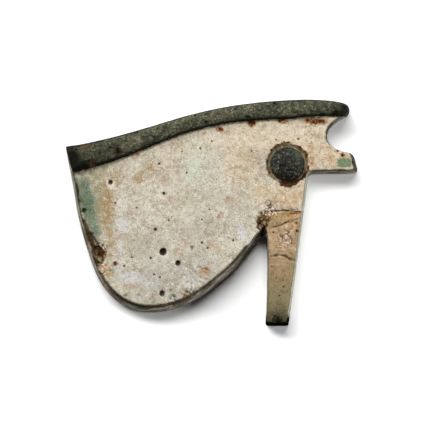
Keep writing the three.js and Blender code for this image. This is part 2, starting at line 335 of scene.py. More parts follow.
def small_form_depth(place, point):
    """How deep the pinholes, rings and cracks are at a place of the face, in mm."""
    depth = 0.0
    for spot, radius in pinholes:
        depth = max(depth, bowl((place - spot).length, radius) * radius * 1.7)
    for spot, radius, deepest in rings:
        depth = max(depth, deepest * bowl((place - spot).length - radius, 0.17))
    wander = grain(point, 0.8, 11) * 0.16
    for run, half, deepest in cracks:
        away = distance_to_run(place, run)
        if away < half + 0.2:
            uneven = 0.75 + 0.5 * grain(point, 0.9, 12)
            depth = max(depth, deepest * bowl(max(0.0, away + wander), half) * uneven)
    return depth


def crumble_depth(place, point):
    """Paste lost from the rough places, in mm, as coarse and fine grains."""
    depth = 0.0
    for spot, reach, deepest in rough_places:
        share = 1 - soft_step(0.4, 1.0, (place - spot).length / reach)
        if share > 0:
            grains = 0.45 + 0.75 * grain(point, 0.62, 3) + 0.55 * grain(point, 0.33, 5)
            depth = max(depth, share * deepest * max(0.0, grains))
    return depth


# %% [markdown]
# The arris, the edge where the face turns into the wall, is worn and dark. To know how far each
# vertex is from it, a copy of the solid is sliced just under its face and points are set along the
# cut. The cut also runs round every pit, so the points are sorted into groups that touch. The
# largest group is the arris, and the rest are the rims of the pits. The pupil's seat comes too near
# the arris to be told from it in this way, so its rim is left out first.

# %% Find the arris
SLICE_DROP = 0.03
POINT_STEP = 0.1
GROUP_REACH = 0.25
CUT_SLACK = 0.001
PIT_FLOOR = 2.6
PIT_TOP = 0.1
PIT_RADIUS = 0.95


def slice_points(node, height):
    """Points along a level slice through a solid, in mm, laid flat."""
    piece = merged_copy(node, "slice")
    bpy.ops.object.mode_set(mode="EDIT")
    bpy.ops.mesh.select_all(action="SELECT")
    bpy.ops.mesh.bisect(
        plane_co=(0, 0, height * MM), plane_no=(0, 0, 1), clear_inner=True, clear_outer=True,
        threshold=CUT_SLACK * MM)
    bpy.ops.object.mode_set(mode="OBJECT")
    places = [Vector((vertex.co.x, vertex.co.y, 0.0)) / MM for vertex in piece.data.vertices]
    points = []
    for edge in piece.data.edges:
        start, end = (places[index] for index in edge.vertices)
        count = max(1, math.ceil((end - start).length / POINT_STEP))
        points += [start.lerp(end, share / count) for share in range(count)]
    bpy.data.objects.remove(piece)
    return points


def flat_tree(points):
    tree = kdtree.KDTree(len(points))
    for index, point in enumerate(points):
        tree.insert(point, index)
    tree.balance()
    return tree


def touching_groups(points):
    """The points sorted into groups in which each lies near another, the largest first."""
    tree = flat_tree(points)
    waiting = set(range(len(points)))
    groups = []
    while waiting:
        group = [waiting.pop()]
        for index in group:
            found = tree.find_range(points[index], GROUP_REACH)
            near = [other for place, other, away in found if other in waiting]
            waiting.difference_update(near)
            group += near
        groups.append([points[index] for index in group])
    return sorted(groups, key=len, reverse=True)


rims = [point for point in slice_points("eye_plate", FACE_HEIGHT - SLICE_DROP)
        if (point.xy - PUPIL_PLACE).length > SEAT_RIM + 0.15]
arris, *pit_rims = touching_groups(rims)
arris_tree = flat_tree(arris)
pit_tree = flat_tree([point for rim in pit_rims for point in rim])


def from_arris(point):
    return arris_tree.find((point.x, point.y, 0.0))[2]


def in_a_pit(point):
    """Whether a point is in one of the solid's pits."""
    if not FACE_HEIGHT - PIT_FLOOR < point.z < FACE_HEIGHT - PIT_TOP:
        return False
    to_rim = pit_tree.find((point.x, point.y, 0.0))[2]
    return to_rim < min(PIT_RADIUS, from_arris(point))


print("the cut found the arris and", len(pit_rims), "pits")
for axis, name in enumerate("xy"):
    reach = [point[axis] for point in arris]
    print("the arris runs from", round(min(reach), 2), "to", round(max(reach), 2), "mm along", name)

# %% [markdown]
# Now the slab is carved. Its face gets the slow unevenness of a hand-smoothed surface and the grit of
# coarse quartz, and the arris loses a little here and there. The walls were wiped by hand, so they
# get long shallow dents. Nothing grows past the solid here.

# %% Carve the slab
FACE_WAVES = [(0.04, 7, 1), (0.02, 2.4, 13)]
FACE_GRIT = [(0.024, 0.75, 14), (0.022, 0.42, 15)]
WALL_DENTS = [(0.03, 3.5, 4), (0.018, 0.5, 6)]
ARRIS_LOSS = 0.05
ARRIS_CHIPS = [(0.12, 1.7, 2), (0.14, 0.7, 16)]
ARRIS_BAND = 0.6
WORN_RUN = polyline([(104, 280), (118, 294), (140, 302), (170, 302), (200, 290), (222, 272), (240, 252)])
WORN_REACH = 2.4
WORN_DROP = 0.5
WORN_BAND = 0.8
SKIN_DEPTH = 1.6
STILL_BAND = 0.3


def worn_share(place):
    """1 along the low edge of the cheek, where the arris is rubbed round."""
    away = distance_to_run(place, WORN_RUN)
    return 1 - soft_step(WORN_REACH * 0.6, WORN_REACH, away) if away < WORN_REACH else 0.0


def carve_plate(piece):
    sunk = new_layer(piece, "sunk")
    wall = new_layer(piece, "wall")
    for vertex, normal, point in each_vertex(piece):
        place = point.xy
        edge = from_arris(point)
        on_top = soft_step(0.55, 0.9, normal.z) if point.z > FACE_HEIGHT - SKIN_DEPTH else 0.0
        forms = 0.0
        if point.z > FACE_HEIGHT - FORM_DEPTH:
            forms = small_form_depth(place, point) + crumble_depth(place, point)
        if point.z > STILL_BAND:
            near_top = soft_step(FACE_HEIGHT - 1.7, FACE_HEIGHT - 0.05, point.z)
            uneven = layered(point, FACE_WAVES) + layered(point, FACE_GRIT)
            chips = sum(height * max(0.0, grain(point, size, seed)) for height, size, seed in ARRIS_CHIPS)
            wear = (1 - soft_step(0.0, ARRIS_BAND, edge)) * (ARRIS_LOSS + chips)
            rubbed = WORN_DROP * worn_share(place) * max(0.0, 1 - edge / WORN_BAND) ** 1.6
            vertex.co.z -= ((uneven + wear + rubbed) * near_top + forms) * MM
            flat = Vector((normal.x, normal.y, 0.0))
            vertex.co -= flat * layered(point, WALL_DENTS) * (1 - on_top) * MM
        in_pit = in_a_pit(point)
        inside = in_pit or on_top > 0.5 or (place - PUPIL_PLACE).length < SEAT_RIM + 0.1
        sunk.data[vertex.index].value = forms + (max(0.0, FACE_HEIGHT - 0.15 - point.z) if in_pit else 0.0)
        wall.data[vertex.index].value = 0.55 * worn_share(place) - edge if inside else FACE_HEIGHT - point.z


carve_plate(plate)
print("the slab is carved")

# %% [markdown]
# In the crotch the paste crumbled into a rough lump that hangs below the face. The wall there is
# pushed out into the gap by coarse noise, the more so the lower it lies. Round the pupil a crust of
# hardened dirt fills the joint. It is thick on the right and below, and thin on the left, so its
# strength is given by a few directions, each with its spread.

# %% Rubble and crust
CRUST_LOBES = [
    {"toward": 84, "spread": 40, "strength": 0.6, "out": 0.72},
    {"toward": 40, "spread": 38, "strength": 0.7, "out": 0.72},
    {"toward": -4, "spread": 34, "strength": 0.6, "out": 0.85},
    {"toward": -42, "spread": 34, "strength": 1.0, "out": 0.55},
    {"toward": -82, "spread": 46, "strength": 1.0, "out": 0.42},
    {"toward": -140, "spread": 44, "strength": 0.3, "out": 0.6},
    {"toward": 180, "spread": 40, "strength": 0.08, "out": 0.7},
    {"toward": 135, "spread": 40, "strength": 0.12, "out": 0.78},
]
CRUST_RAGGED = [(0.7, 1.7, 46), (0.5, 0.7, 42), (0.5, 0.36, 43)]
CRUST_HEIGHT = 0.09
SEAT_FILL = FACE_HEIGHT - 0.55
LUMP_SIZE = 1.15


def crust_lobe(place):
    """How thick the crust is in this direction from the pupil, from 0 to 1, and how far out it lies."""
    angle = math.degrees(math.atan2(place.y - PUPIL_PLACE.y, place.x - PUPIL_PLACE.x))
    strongest = (0.0, 0.7)
    for lobe in CRUST_LOBES:
        off = abs((angle - lobe["toward"] + 180) % 360 - 180)
        strength = lobe["strength"] * (1 - soft_step(0.35, 1.15, off / lobe["spread"]))
        strongest = max(strongest, (strength, lobe["out"]))
    return strongest


def crust_at(point):
    """The crust's share at a point, ragged, from 0 outside it to 1 on its thickest line."""
    place = point.xy
    out = (place - PUPIL_PLACE).length - PUPIL_RADIUS
    if out < -0.4 or out > 2.0:
        return 0.0
    strength, middle = crust_lobe(place)
    ragged = sum(height * grain(point, size, seed) for height, size, seed in CRUST_RAGGED)
    line = abs(out + 0.2 * grain(point, 1.1, 47) - middle) / (0.18 + 0.42 * strength)
    return max(0.0, min(1.0, (0.15 + 0.95 * strength) * (1.2 - line) + ragged)) if line < 1.9 else 0.0


def add_rubble_and_crust(piece):
    crust = new_layer(piece, "crust")
    rubble_and_shade = new_layer(piece, "rubble_and_shade")
    for vertex, normal, point in each_vertex(piece):
        place = point.xy
        out = (place - PUPIL_PLACE).length
        if out < SEAT_RIM + 0.35 and point.z > 1.0:
            slope = soft_step(PUPIL_RADIUS, SEAT_RIM, out)
            floor = SEAT_FILL + (FACE_HEIGHT - 0.1 - SEAT_FILL) * slope + 0.06 * grain(point, 0.6, 8)
            if out < SEAT_RIM - 0.2:
                vertex.co.z = floor * MM
            elif normal.z > 0.3:
                vertex.co.z = max(vertex.co.z, floor * MM)
        dirt = crust_at(point) if point.z > FACE_HEIGHT - FORM_DEPTH else 0.0
        vertex.co.z += CRUST_HEIGHT * dirt * MM if normal.z > 0.3 else 0.0
        crust.data[vertex.index].value = dirt
        away = (place - CROTCH).length
        share = 1 - soft_step(0.45, 1.0, away / RUBBLE_REACH)
        if share > 0 and point.z > STILL_BAND and normal.z < 0.6:
            lumps = 0.5 + 0.8 * grain(point, 1.0, 51) + 0.5 * grain(point, 0.5, 52)
            low = soft_step(-0.2, 1.6, FACE_HEIGHT - point.z) * soft_step(0.3, 2.2, point.z)
            vertex.co += Vector((normal.x, normal.y, 0.0)) * max(0.0, lumps) * LUMP_SIZE * share * low * MM
        rubble_and_shade.data[vertex.index].value = share


add_rubble_and_crust(plate)
print("the crotch is choked and the pupil's joint is crusted")

# %% [markdown]
# The brow was rolled between the fingers and laid on wet. It swells and pinches a little along its
# length, and its skin is finely rough, with a few torn nicks. The pupil's dome is lumpy and covered
# with small cells, like the skin of a blackberry. All of that is taken off the solids.

# %% Carve the brow and the pupil
BROW_SWELL = [(0.06, 5, 21), (0.06, 1.9, 22)]
BROW_SKIN = [(0.03, 0.7, 23), (0.022, 0.36, 24)]
PUPIL_LUMPS = [(0.07, 1.7, 31), (0.06, 0.8, 32)]
CELL_SIZE = 0.75
CELL_DEPTH = 0.12


def carve_brow(piece):
    relief = new_layer(piece, "relief")
    for vertex, normal, point in each_vertex(piece):
        rise = soft_step(brow_low.z + 0.02, brow_low.z + 0.3, point.z)
        upward = 0.35 + 0.65 * max(0.0, normal.z)
        nick = 0.2 * soft_step(0.42, 0.75, grain(point, 1.0, 25))
        nick += 0.12 * soft_step(0.4, 0.7, grain(point, 0.5, 26))
        lost = layered(point, BROW_SWELL) + layered(point, BROW_SKIN) + nick
        vertex.co -= normal * (lost * upward) * rise * MM
        vertex.co.z = max(vertex.co.z, brow_low.z * MM)
        relief.data[vertex.index].value = nick * rise


def carve_pupil(piece):
    relief = new_layer(piece, "relief")
    for vertex, normal, point in each_vertex(piece):
        rise = soft_step(pupil_low.z + 0.05, pupil_low.z + 0.5, point.z)
        cells = CELL_DEPTH * min(1.0, noise.voronoi(point / CELL_SIZE)[0][0] * 1.4)
        vertex.co -= normal * (layered(point, PUPIL_LUMPS) + cells) * rise * MM
        relief.data[vertex.index].value = cells


carve_brow(brow)
carve_pupil(pupil)
print("the brow and the pupil are carved")

# %% [markdown]
# The slab's colours are mostly stains: the remains of a blue-green glaze at the left edge, ochre and
# rust from iron in the ground, pale bloom, and grime in the joints. Some cream patches are painted
# highlight instead, on the lips of pits and beside the brow. They are painted as soft patches into
# vertex attributes, one for each pigment, as in vertex painting with a soft brush. The brush is made
# to wander by noise, and the material breaks the patches up further, so that no brush mark shows.
#
# Each patch names its middle in the photograph, its half sizes in pixels, its turn and its strength.

# %% Where the stains lie
STAINS = {
    "warm": [
        (250, 140, 62, 24, -4, 0.75), (300, 150, 44, 36, 0, 1.0), (180, 150, 44, 14, -14, 0.5),
        (290, 195, 26, 22, 0, 1.0), (246, 166, 26, 26, 0, 0.9), (335, 160, 28, 14, 0, 0.9),
        (262, 194, 16, 12, 30, 0.8),
    ],
    "cool": [
        (196, 170, 24, 24, 0, 0.75), (235, 205, 22, 18, 0, 0.5), (200, 230, 34, 26, 0, 0.55),
        (150, 245, 40, 34, 0, 0.6), (135, 215, 24, 20, 0, 0.4), (160, 285, 48, 26, -14, 1.0),
        (195, 272, 36, 28, -20, 1.0),
    ],
    "bloom": [
        (121, 226, 13, 15, 0, 0.75), (122, 202, 10, 12, 0, 0.5), (118, 250, 8, 16, 0, 0.6),
        (118, 270, 8, 12, 0, 0.6), (130, 278, 16, 7, -10, 0.8), (146, 262, 9, 8, 0, 0.4),
        (150, 283, 12, 5, 0, 0.6), (243, 234, 7, 15, 28, 0.85), (190, 283, 15, 7, -20, 0.5),
        (184, 270, 9, 6, 0, 0.5), (200, 214, 10, 8, 0, 0.3), (110, 183, 4, 4, 0, 0.7),
        (200, 262, 8, 5, 0, 0.5), (115, 243, 6, 9, 0, 0.6), (176, 200, 8, 6, 0, 0.3),
        (205, 132, 26, 3, -14, 0.5), (290, 133, 26, 6, 0, 0.35),
    ],
    "tan": [
        (105, 270, 7, 12, 15, 1.0), (132, 287, 15, 3, -6, 0.4), (146, 291, 9, 3, 0, 0.3),
        (204, 271, 9, 8, 0, 0.7), (215, 246, 8, 8, 0, 0.4), (178, 252, 7, 9, 0, 0.5),
        (122, 262, 5, 5, 0, 0.3), (246, 160, 15, 16, 0, 0.4), (262, 190, 13, 10, 30, 0.45),
        (232, 200, 9, 7, 0, 0.3), (272, 196, 12, 7, 0, 0.5), (195, 237, 6, 6, 0, 0.25),
        (116, 236, 13, 7, 0, 0.45), (283, 217, 12, 6, 0, 1.0), (310, 160, 12, 12, 0, 0.35),
        (325, 148, 14, 5, -20, 0.4), (170, 165, 12, 9, 0, 0.4), (268, 214, 8, 8, 0, 0.7),
        (284, 199, 26, 12, 0, 0.6), (336, 160, 22, 12, 0, 0.6),
    ],
    "ochre": [
        (107, 206, 8.5, 34, 3, 1.0), (111, 238, 6.5, 16, 4, 0.85), (114, 178, 11, 10, 0, 0.75),
        (139.5, 176.2, 11, 8, 0, 0.8), (152, 167, 9, 8, 30, 0.7), (176, 166, 10, 9, 0, 0.35),
        (128, 163, 4, 4, 0, 0.5), (112, 252, 7, 8, 0, 0.6), (136.5, 155.5, 4, 3.2, 0, 1.0),
        (318.5, 136, 4, 3, 0, 0.7), (92.5, 165, 5, 3.5, 0, 0.9), (268, 139, 5, 3, 0, 0.4),
        (180, 138.5, 6, 2.2, -14, 0.7),
    ],
    "rose": [
        (166, 181, 9, 7, 0, 0.5), (171, 199, 8, 6, 0, 0.6), (181, 207, 6, 5, 0, 0.5),
        (150.8, 296.8, 4, 3.2, 0, 0.95), (160, 302, 7, 3, 0, 0.5), (218.7, 214.8, 5, 4, 0, 0.8),
        (229, 199, 8, 5, 0, 0.6), (186, 244, 5, 6, 0, 0.6), (224, 134.5, 7, 4, 30, 0.5),
        (121, 236, 12, 3.5, 0, 0.5), (140, 258, 6, 5, 0, 0.3), (297, 205, 8, 9, 0, 0.3),
        (132, 286.5, 17, 4.4, -6, 0.5), (204, 279, 16, 4, -30, 0.4),
    ],
    "teal": [
        (87.5, 204, 12.5, 38, 9, 1.0), (94.5, 230, 8, 14, 14, 0.85), (84, 186, 12, 14, 0, 0.9),
        (126.9, 294.8, 3.4, 2.4, 0, 1.0), (137.7, 293.7, 2.8, 2, 0, 0.8),
        (153.8, 301.6, 3.4, 2.2, 0, 0.9), (173.6, 295.4, 3.6, 2.4, 0, 1.0), (112, 278, 6, 8, 0, 0.4),
        (164, 193, 4.5, 3.5, 0, 0.6), (113, 271, 4, 4, 0, 0.5), (150, 300, 20, 2.5, 0, 0.35),
        (84, 178, 9, 7, 0, 0.7),
    ],
    "deep": [
        (77, 186, 2.6, 12, 10, 1.0), (81, 201, 2.6, 9, 12, 0.9), (84, 214, 2.4, 8, 14, 0.7),
        (73, 174, 2.4, 8, 10, 0.9), (92, 170, 9, 4, 20, 0.7), (78, 171, 10, 4.5, 14, 1.0),
        (92, 166, 14, 3.4, 18, 0.8),
    ],
    "olive": [
        (97, 176, 11, 9, 20, 0.9), (104, 166.5, 9, 3.5, 18, 0.8), (99, 192, 6, 14, 6, 0.9),
        (122, 159.5, 14, 2.4, 20, 0.6), (98, 208, 5, 12, 6, 0.8), (98.5, 222, 4, 9, 8, 0.5),
    ],
    # Cream is the paste's pale colour round a pinhole and along the low arris, and painted highlight on the
    # lips of pits and beside the brow.
    "cream": [
        (111.5, 184.5, 6, 6, 0, 1.0), (228, 140, 44, 9, -8, 0.5), (164, 253.5, 5, 3.4, 20, 0.6),
        (188.5, 249.5, 5, 3, 0, 0.6), (179, 265, 4, 3, 0, 0.5), (172, 302, 30, 2.6, 0, 0.5),
        (205, 283, 20, 3, -36, 0.5), (140, 157, 8, 4, -18, 0.6),
    ],
    "leg_edge": [
        (298, 236, 3.5, 22, 5, 0.9), (294, 272, 4, 24, 6, 1.0), (289, 305, 5, 20, 6, 0.8),
        (270, 306, 7, 16, 0, 0.4),
    ],
    "mint": [
        (197, 168, 17, 26, 0, 0.85), (205, 150, 16, 8, -12, 0.5), (213, 195, 12, 12, 0, 0.4),
    ],
    "rust": [
        (98, 247, 5, 8, 28, 0.5), (102, 254, 6, 6, 25, 0.8), (107, 247, 4, 4, 0, 0.5),
        (114.9, 263.2, 3.4, 3.2, 0, 1.0), (100, 266, 3, 9, 22, 0.7), (262.5, 221, 6, 8, -10, 1.0),
        (270, 216, 6, 5, 0, 0.6), (295, 213.6, 8, 3.5, 0, 0.8), (296.5, 224, 1.6, 2, 0, 0.9),
        (297.4, 228, 1.5, 1.8, 0, 0.9), (296.6, 231.6, 2, 1.8, 0, 1.0), (204.5, 270.3, 4.6, 4.4, 0, 0.8),
        (316, 121, 15, 4.6, 0, 1.3), (312, 124, 6, 2.4, 0, 0.8), (282, 120.5, 7, 3, 0, 1.2),
        (252, 122, 6, 5, 0, 1.3), (220.5, 129.6, 4.4, 3.6, 0, 1.3), (205, 133.5, 3, 2.6, 0, 0.7),
        (189, 296.5, 14, 2.4, -22, 0.7), (207, 288, 8, 2.2, -34, 0.6), (310, 150, 5, 6, 0, 0.6),
        (312, 161, 4, 8, 0, 0.7), (342.4, 154.7, 3.4, 3, 0, 1.0), (337, 151.4, 4, 3, 0, 0.6),
        (208, 248, 3, 3, 0, 0.7), (251, 157, 9, 2.5, 35, 0.4), (289, 262, 6, 3, 20, 0.35),
        (330, 158, 5, 8, 0, 0.3), (151, 163, 8, 9, 30, 0.35), (287.3, 186.5, 4.5, 2.4, 0, 0.5),
        (138, 153.6, 3.6, 2, 0, 0.8), (192, 295, 12, 3.4, -22, 0.6), (180.5, 137.6, 4, 1.6, 0, 0.5),
        (297, 216, 3.5, 2.6, 0, 0.8), (350, 172.5, 8, 1.6, 0, 0.5),
    ],
    "umber": [
        (88.5, 237, 6.5, 20, 25, 1.0), (95, 251, 9, 10, 20, 1.0), (96, 262, 5, 9, 24, 0.9),
        (104, 249, 4, 6, 0, 0.6), (99, 256, 6, 6, 0, 1.0), (262, 222, 7, 10, -10, 0.9),
        (311, 173, 6, 3, 0, 0.8), (84, 164, 12, 3, 14, 0.6),
    ],
    "soot": [
        (278.5, 320, 8.5, 6.5, 0, 1.0), (266, 321, 3, 10, 0, 0.7), (291, 322, 3, 8, 0, 0.6),
        (278, 325, 18, 4, 0, 0.9), (278, 330, 26, 24, 0, 0.75),
    ],
    "stipple": [
        (151, 163, 10, 13, 30, 1.0), (113, 178, 15, 11, 0, 0.9), (107, 205, 9, 30, 4, 0.7),
        (320, 160, 16, 14, 0, 0.9), (246, 160, 18, 16, 0, 0.6), (204, 250, 30, 30, 0, 0.3),
        (139, 176, 12, 10, 0, 0.6), (272, 199, 16, 9, 0, 0.8), (170, 262, 60, 32, 0, 0.55),
        (300, 140, 40, 14, 0, 0.5), (284, 240, 14, 20, 0, 0.9), (105, 268, 10, 14, 0, 0.8),
    ],
    "crumbs": [
        (271, 210.5, 12, 6, 0, 1.0), (264, 222, 7, 8, 0, 0.4), (104, 248, 3.4, 3.4, 0, 0.9),
        (103, 270, 8, 12, 10, 0.5), (286, 240, 7, 12, 0, 0.6), (204.5, 270.5, 2.6, 2.4, 0, 0.9),
        (297, 217, 6, 4, 0, 0.5), (140, 262, 34, 24, 0, 0.25), (190, 283, 20, 10, -20, 0.4),
    ],
}
GLAZE_PATCH = [(344.1, 162.8, 7.4, 4.8, 0, 1.0)]
WANDER = ((1.7, 0.42, 61), (0.6, 0.22, 63))
SOFT_EDGE = (0.05, 1.55)
SQUARE_EDGE = (0.8, 1.12)
ROUND_POWER = 2
SQUARE_POWER = 7


def wandered(point):
    """A place of the face, moved about by coarse and fine noise, in mm."""
    place = point.xy
    for size, reach, seed in WANDER:
        place += Vector((grain(point, size, seed), grain(point, size, seed + 1))) * reach
    return place


def ready_patches(patches):
    ready = []
    for across, down, half_x, half_y, turn, strength in patches:
        middle = on_face(across, down)
        angle = math.radians(turn)
        limit = 1.8 * max(half_x, half_y) * MM_PER_PIXEL
        ready.append((middle, math.cos(angle), math.sin(angle), half_x * MM_PER_PIXEL, half_y * MM_PER_PIXEL,
                      strength, limit))
    return ready


def painted(place, patches, edge=SOFT_EDGE, power=ROUND_POWER):
    """How strongly a place is covered by patches, round or nearly square, from 0 to 1."""
    most = 0.0
    for middle, turn_x, turn_y, half_x, half_y, strength, limit in patches:
        off = place - middle
        if abs(off.x) > limit or abs(off.y) > limit:
            continue
        along = (off.x * turn_x + off.y * turn_y) / half_x
        beside = (off.y * turn_x - off.x * turn_y) / half_y
        reach = (abs(along) ** power + abs(beside) ** power) ** (1 / power)
        most = max(most, strength * (1 - soft_step(*edge, reach)))
    return most


def paint(piece, name, value_of):
    """Writes a value for every vertex, from its point in mm."""
    layer = new_layer(piece, name)
    layer.data.foreach_set("value", [value_of(vertex.co / MM) for vertex in piece.data.vertices])


def paint_patches(piece, name, patches, lowest):
    ready = ready_patches(patches)
    paint(piece, name, lambda point: painted(wandered(point), ready) if point.z > lowest else 0.0)


for pigment, patches in STAINS.items():
    paint_patches(plate, pigment, patches, FACE_HEIGHT - SKIN_DEPTH)
square = ready_patches(GLAZE_PATCH)
paint(plate, "glaze", lambda point: painted(
    point.xy, square, SQUARE_EDGE, SQUARE_POWER) if point.z > FACE_HEIGHT - 1 else 0.0)
print("painted", ", ".join(STAINS), "and the square of glaze on the tab")

# %% [markdown]
# More attributes follow the pieces. The leg has its own skin, pinkish tan at its head and olive to
# black at its foot, so it is painted by its height. Grime lies along the brow, and beside it a painted
# highlight, a cream band where the paste catches the light, so both are painted by the distance to
# it. The leg's outer wall kept a pale skin. The walls of the notch are painted dark as shade, and
# those behind the brow are dark.

# %% The leg, the brow's joint and the walls
LEG_HEAD = on_face(285, 211)
LEG_FOOT = on_face(275, 320)
LEG_LEFT = on_face(264, 232)
CRACK_LINE = (on_face(262, 213), on_face(279, 209.5), on_face(303, 213.5))
GRIME_WIDTH = 0.22
LIP_PLACE = 0.55
LIP_WIDTH = 0.32
LIP_START = on_face(116, 160).x
LIP_FADE = 3.0

brow_tree = BVHTree.FromPolygons(
    [vertex.co / MM for vertex in brow.data.vertices], [face.vertices for face in brow.data.polygons])


def leg_share(point):
    """0 above the crack at the head of the leg, 1 below it."""
    left, middle, right = CRACK_LINE
    share = max(0.0, min(1.0, (point.x - left.x) / (right.x - left.x)))
    straight = left.y + (right.y - left.y) * share
    rise = middle.y - (left.y + right.y) / 2
    line = straight + rise * 4 * share * (1 - share) + 0.25 * grain(point, 1.2, 71)
    return soft_step(-0.15, 0.25, line - point.y) * soft_step(LEG_LEFT.x - 0.4, LEG_LEFT.x + 0.5, point.x)


def leg_age(point):
    """0 at the head of the leg, 1 at its foot."""
    return max(0.0, min(1.0, (LEG_HEAD.y - point.y) / (LEG_HEAD.y - LEG_FOOT.y)))


def to_brow(point):
    if point.z < FACE_HEIGHT - SKIN_DEPTH:
        return 9.0
    return brow_tree.find_nearest(Vector((point.x, point.y, FACE_HEIGHT)))[3]


def brow_grime(point):
    ragged = 0.7 + 0.6 * grain(point, 1.3, 41) + 0.3 * grain(point, 0.5, 44)
    return math.exp(-(to_brow(point) / GRIME_WIDTH) ** 2) * ragged


def brow_lip_highlight(point):
    """Painted highlight: a narrow cream band a little out from the brow, fading before its left end."""
    band = math.exp(-((to_brow(point) - LIP_PLACE) / LIP_WIDTH) ** 2)
    ragged = max(0.0, min(1.0, 0.8 + 0.9 * grain(point, 2.6, 45)))
    return band * ragged * soft_step(LIP_START, LIP_START + LIP_FADE, point.x)


def paint_walls(piece):
    """The leg's outer wall and the left wall near the brow are pale; those of the brow are dark, and those of
    the notch are painted dark as shade.
    """
    near_brow = on_face(70, 172)
    leg_corner = on_face(310, 176)
    pale, dark = [], []
    for vertex in piece.data.vertices:
        point = vertex.co / MM
        east = soft_step(0.35, 0.8, vertex.normal.x)
        of_leg = east if point.y < leg_corner.y and point.x > LEG_LEFT.x else 0.0
        left = 1 - soft_step(-0.8, -0.35, vertex.normal.x)
        upper_left = left * (1 - soft_step(0.8, 2.2, (point.xy - near_brow).length))
        pale.append(max(of_leg, 0.8 * upper_left) * (0.8 + 0.4 * grain(point, 1.5, 72)))
        # The notch's walls are painted dark as shade.
        of_notch = east * soft_step(leg_corner.x, leg_corner.x + 2, point.x)
        dark.append(0.9 * max(of_notch, soft_step(0.2, 0.6, vertex.normal.y)))
    new_layer(piece, "pale_wall").data.foreach_set("value", pale)
    new_layer(piece, "shaded_and_dark_wall").data.foreach_set("value", dark)


# Where the arris is painted dark: dirt on the left and below, painted shade on the leg's left edge and in the
# notch.
EDGE_PATCHES = ready_patches([
    (80, 205, 18, 50, 10, 1.0), (100, 265, 16, 34, 30, 1.0), (130, 300, 34, 14, 0, 1.0),
    (172, 303, 34, 12, 0, 1.0), (208, 288, 24, 12, -35, 0.8), (244, 250, 26, 12, -52, 0.35),
    (330, 172, 28, 5, 0, 1.0), (352, 162, 5, 16, 0, 0.9), (329, 134, 9, 22, 0, 0.7),
    (262, 270, 4, 60, 0, 0.6),
])
EDGE_DIRT_AND_SHADE_WIDTH = 0.32


def edge_dirt_and_shade(point):
    """Dark along the arris: dirt, mostly on the left and below, and painted shade on the leg's left edge and
    in the notch.
    """
    if point.z < FACE_HEIGHT - SKIN_DEPTH:
        return 0.0
    near = math.exp(-(from_arris(point) / EDGE_DIRT_AND_SHADE_WIDTH) ** 2)
    return near * painted(point.xy, EDGE_PATCHES) * (1.0 + 0.7 * grain(point, 1.6, 73))


def seat_share(point):
    """1 on the sloping rim of the pupil's seat."""
    out = (point.xy - PUPIL_PLACE).length
    return 1 - soft_step(SEAT_RIM - 0.3, SEAT_RIM + 0.05, out + 0.15 * grain(point, 0.8, 74))


paint(plate, "leg", leg_share)
paint(plate, "edge_dirt_and_shade", edge_dirt_and_shade)
paint(plate, "seat", seat_share)
paint(plate, "age", leg_age)
paint(plate, "grime", brow_grime)
paint(plate, "lip", brow_lip_highlight)
paint_walls(plate)
print("painted the leg, the joint of the brow and the walls")

# %% [markdown]
# ## Materials
# A tint lays a pigment over the colour below where some noise is high or low. A wash does the same
# where its attribute says. The attribute is multiplied by noise, which makes the edge ragged and
# leaves the clean places clean. Colours are written as they look in the picture, 0 to 255, and one value, the
# light's level on the table, turns them into what the shader needs.

# %% Helpers for materials
LIGHT_LEVEL = 1.31
WASH_EDGE = (0.08, 1.05)


def new_material(name):
    material = bpy.data.materials.new(name)
    material.use_nodes = True
    tree = material.node_tree
    return material, tree, tree.nodes["Principled BSDF"]


def link(tree, source, target):
    tree.links.new(source, target)


def colour(red, green, blue):
    """The paint that looks like this screen colour under the studio light."""
    def linear(value):
        value /= 255
        return (value / 12.92 if value <= 0.04045 else ((value + 0.055) / 1.055) ** 2.4) / LIGHT_LEVEL
    return (linear(red), linear(green), linear(blue), 1.0)


def object_place(tree):
    return tree.nodes.new("ShaderNodeTexCoord").outputs["Object"]


def scaled_place(tree, place, size, shift, squash=1.0):
    mapping = tree.nodes.new("ShaderNodeMapping")
    across = 1 / (size * MM)
    mapping.inputs["Location"].default_value = (shift, shift * 0.7, shift * 1.3)
    mapping.inputs["Scale"].default_value = (across, across, across * squash)
    link(tree, place, mapping.inputs["Vector"])
    return mapping.outputs["Vector"]


def noise_value(tree, place, size, detail=3.0, rough=0.55, shift=0.0, squash=1.0):
    """Noise from 0 to 1 whose features measure size, in mm, and are squashed flat this many times."""
    texture = tree.nodes.new("ShaderNodeTexNoise")
    texture.inputs["Scale"].default_value = 1.0
    texture.inputs["Detail"].default_value = detail
    texture.inputs["Roughness"].default_value = rough
    link(tree, scaled_place(tree, place, size, shift, squash), texture.inputs["Vector"])
    return texture.outputs["Fac"]


def voronoi(tree, place, size, shift=0.0):
    texture = tree.nodes.new("ShaderNodeTexVoronoi")
    texture.inputs["Scale"].default_value = 1.0
    link(tree, scaled_place(tree, place, size, shift), texture.inputs["Vector"])
    return texture


def maths(tree, kind, *values):
    node = tree.nodes.new("ShaderNodeMath")
    node.operation = kind
    for socket, value in zip(node.inputs, values):
        if isinstance(value, (int, float)):
            socket.default_value = value
        else:
            link(tree, value, socket)
    return node.outputs[0]


def ramp(tree, value, low, high, to_low=0.0, to_high=1.0):
    node = tree.nodes.new("ShaderNodeMapRange")
    node.interpolation_type = "SMOOTHSTEP"
    for name, number in (("From Min", low), ("From Max", high), ("To Min", to_low), ("To Max", to_high)):
        node.inputs[name].default_value = number
    link(tree, value, node.inputs["Value"])
    return node.outputs["Result"]


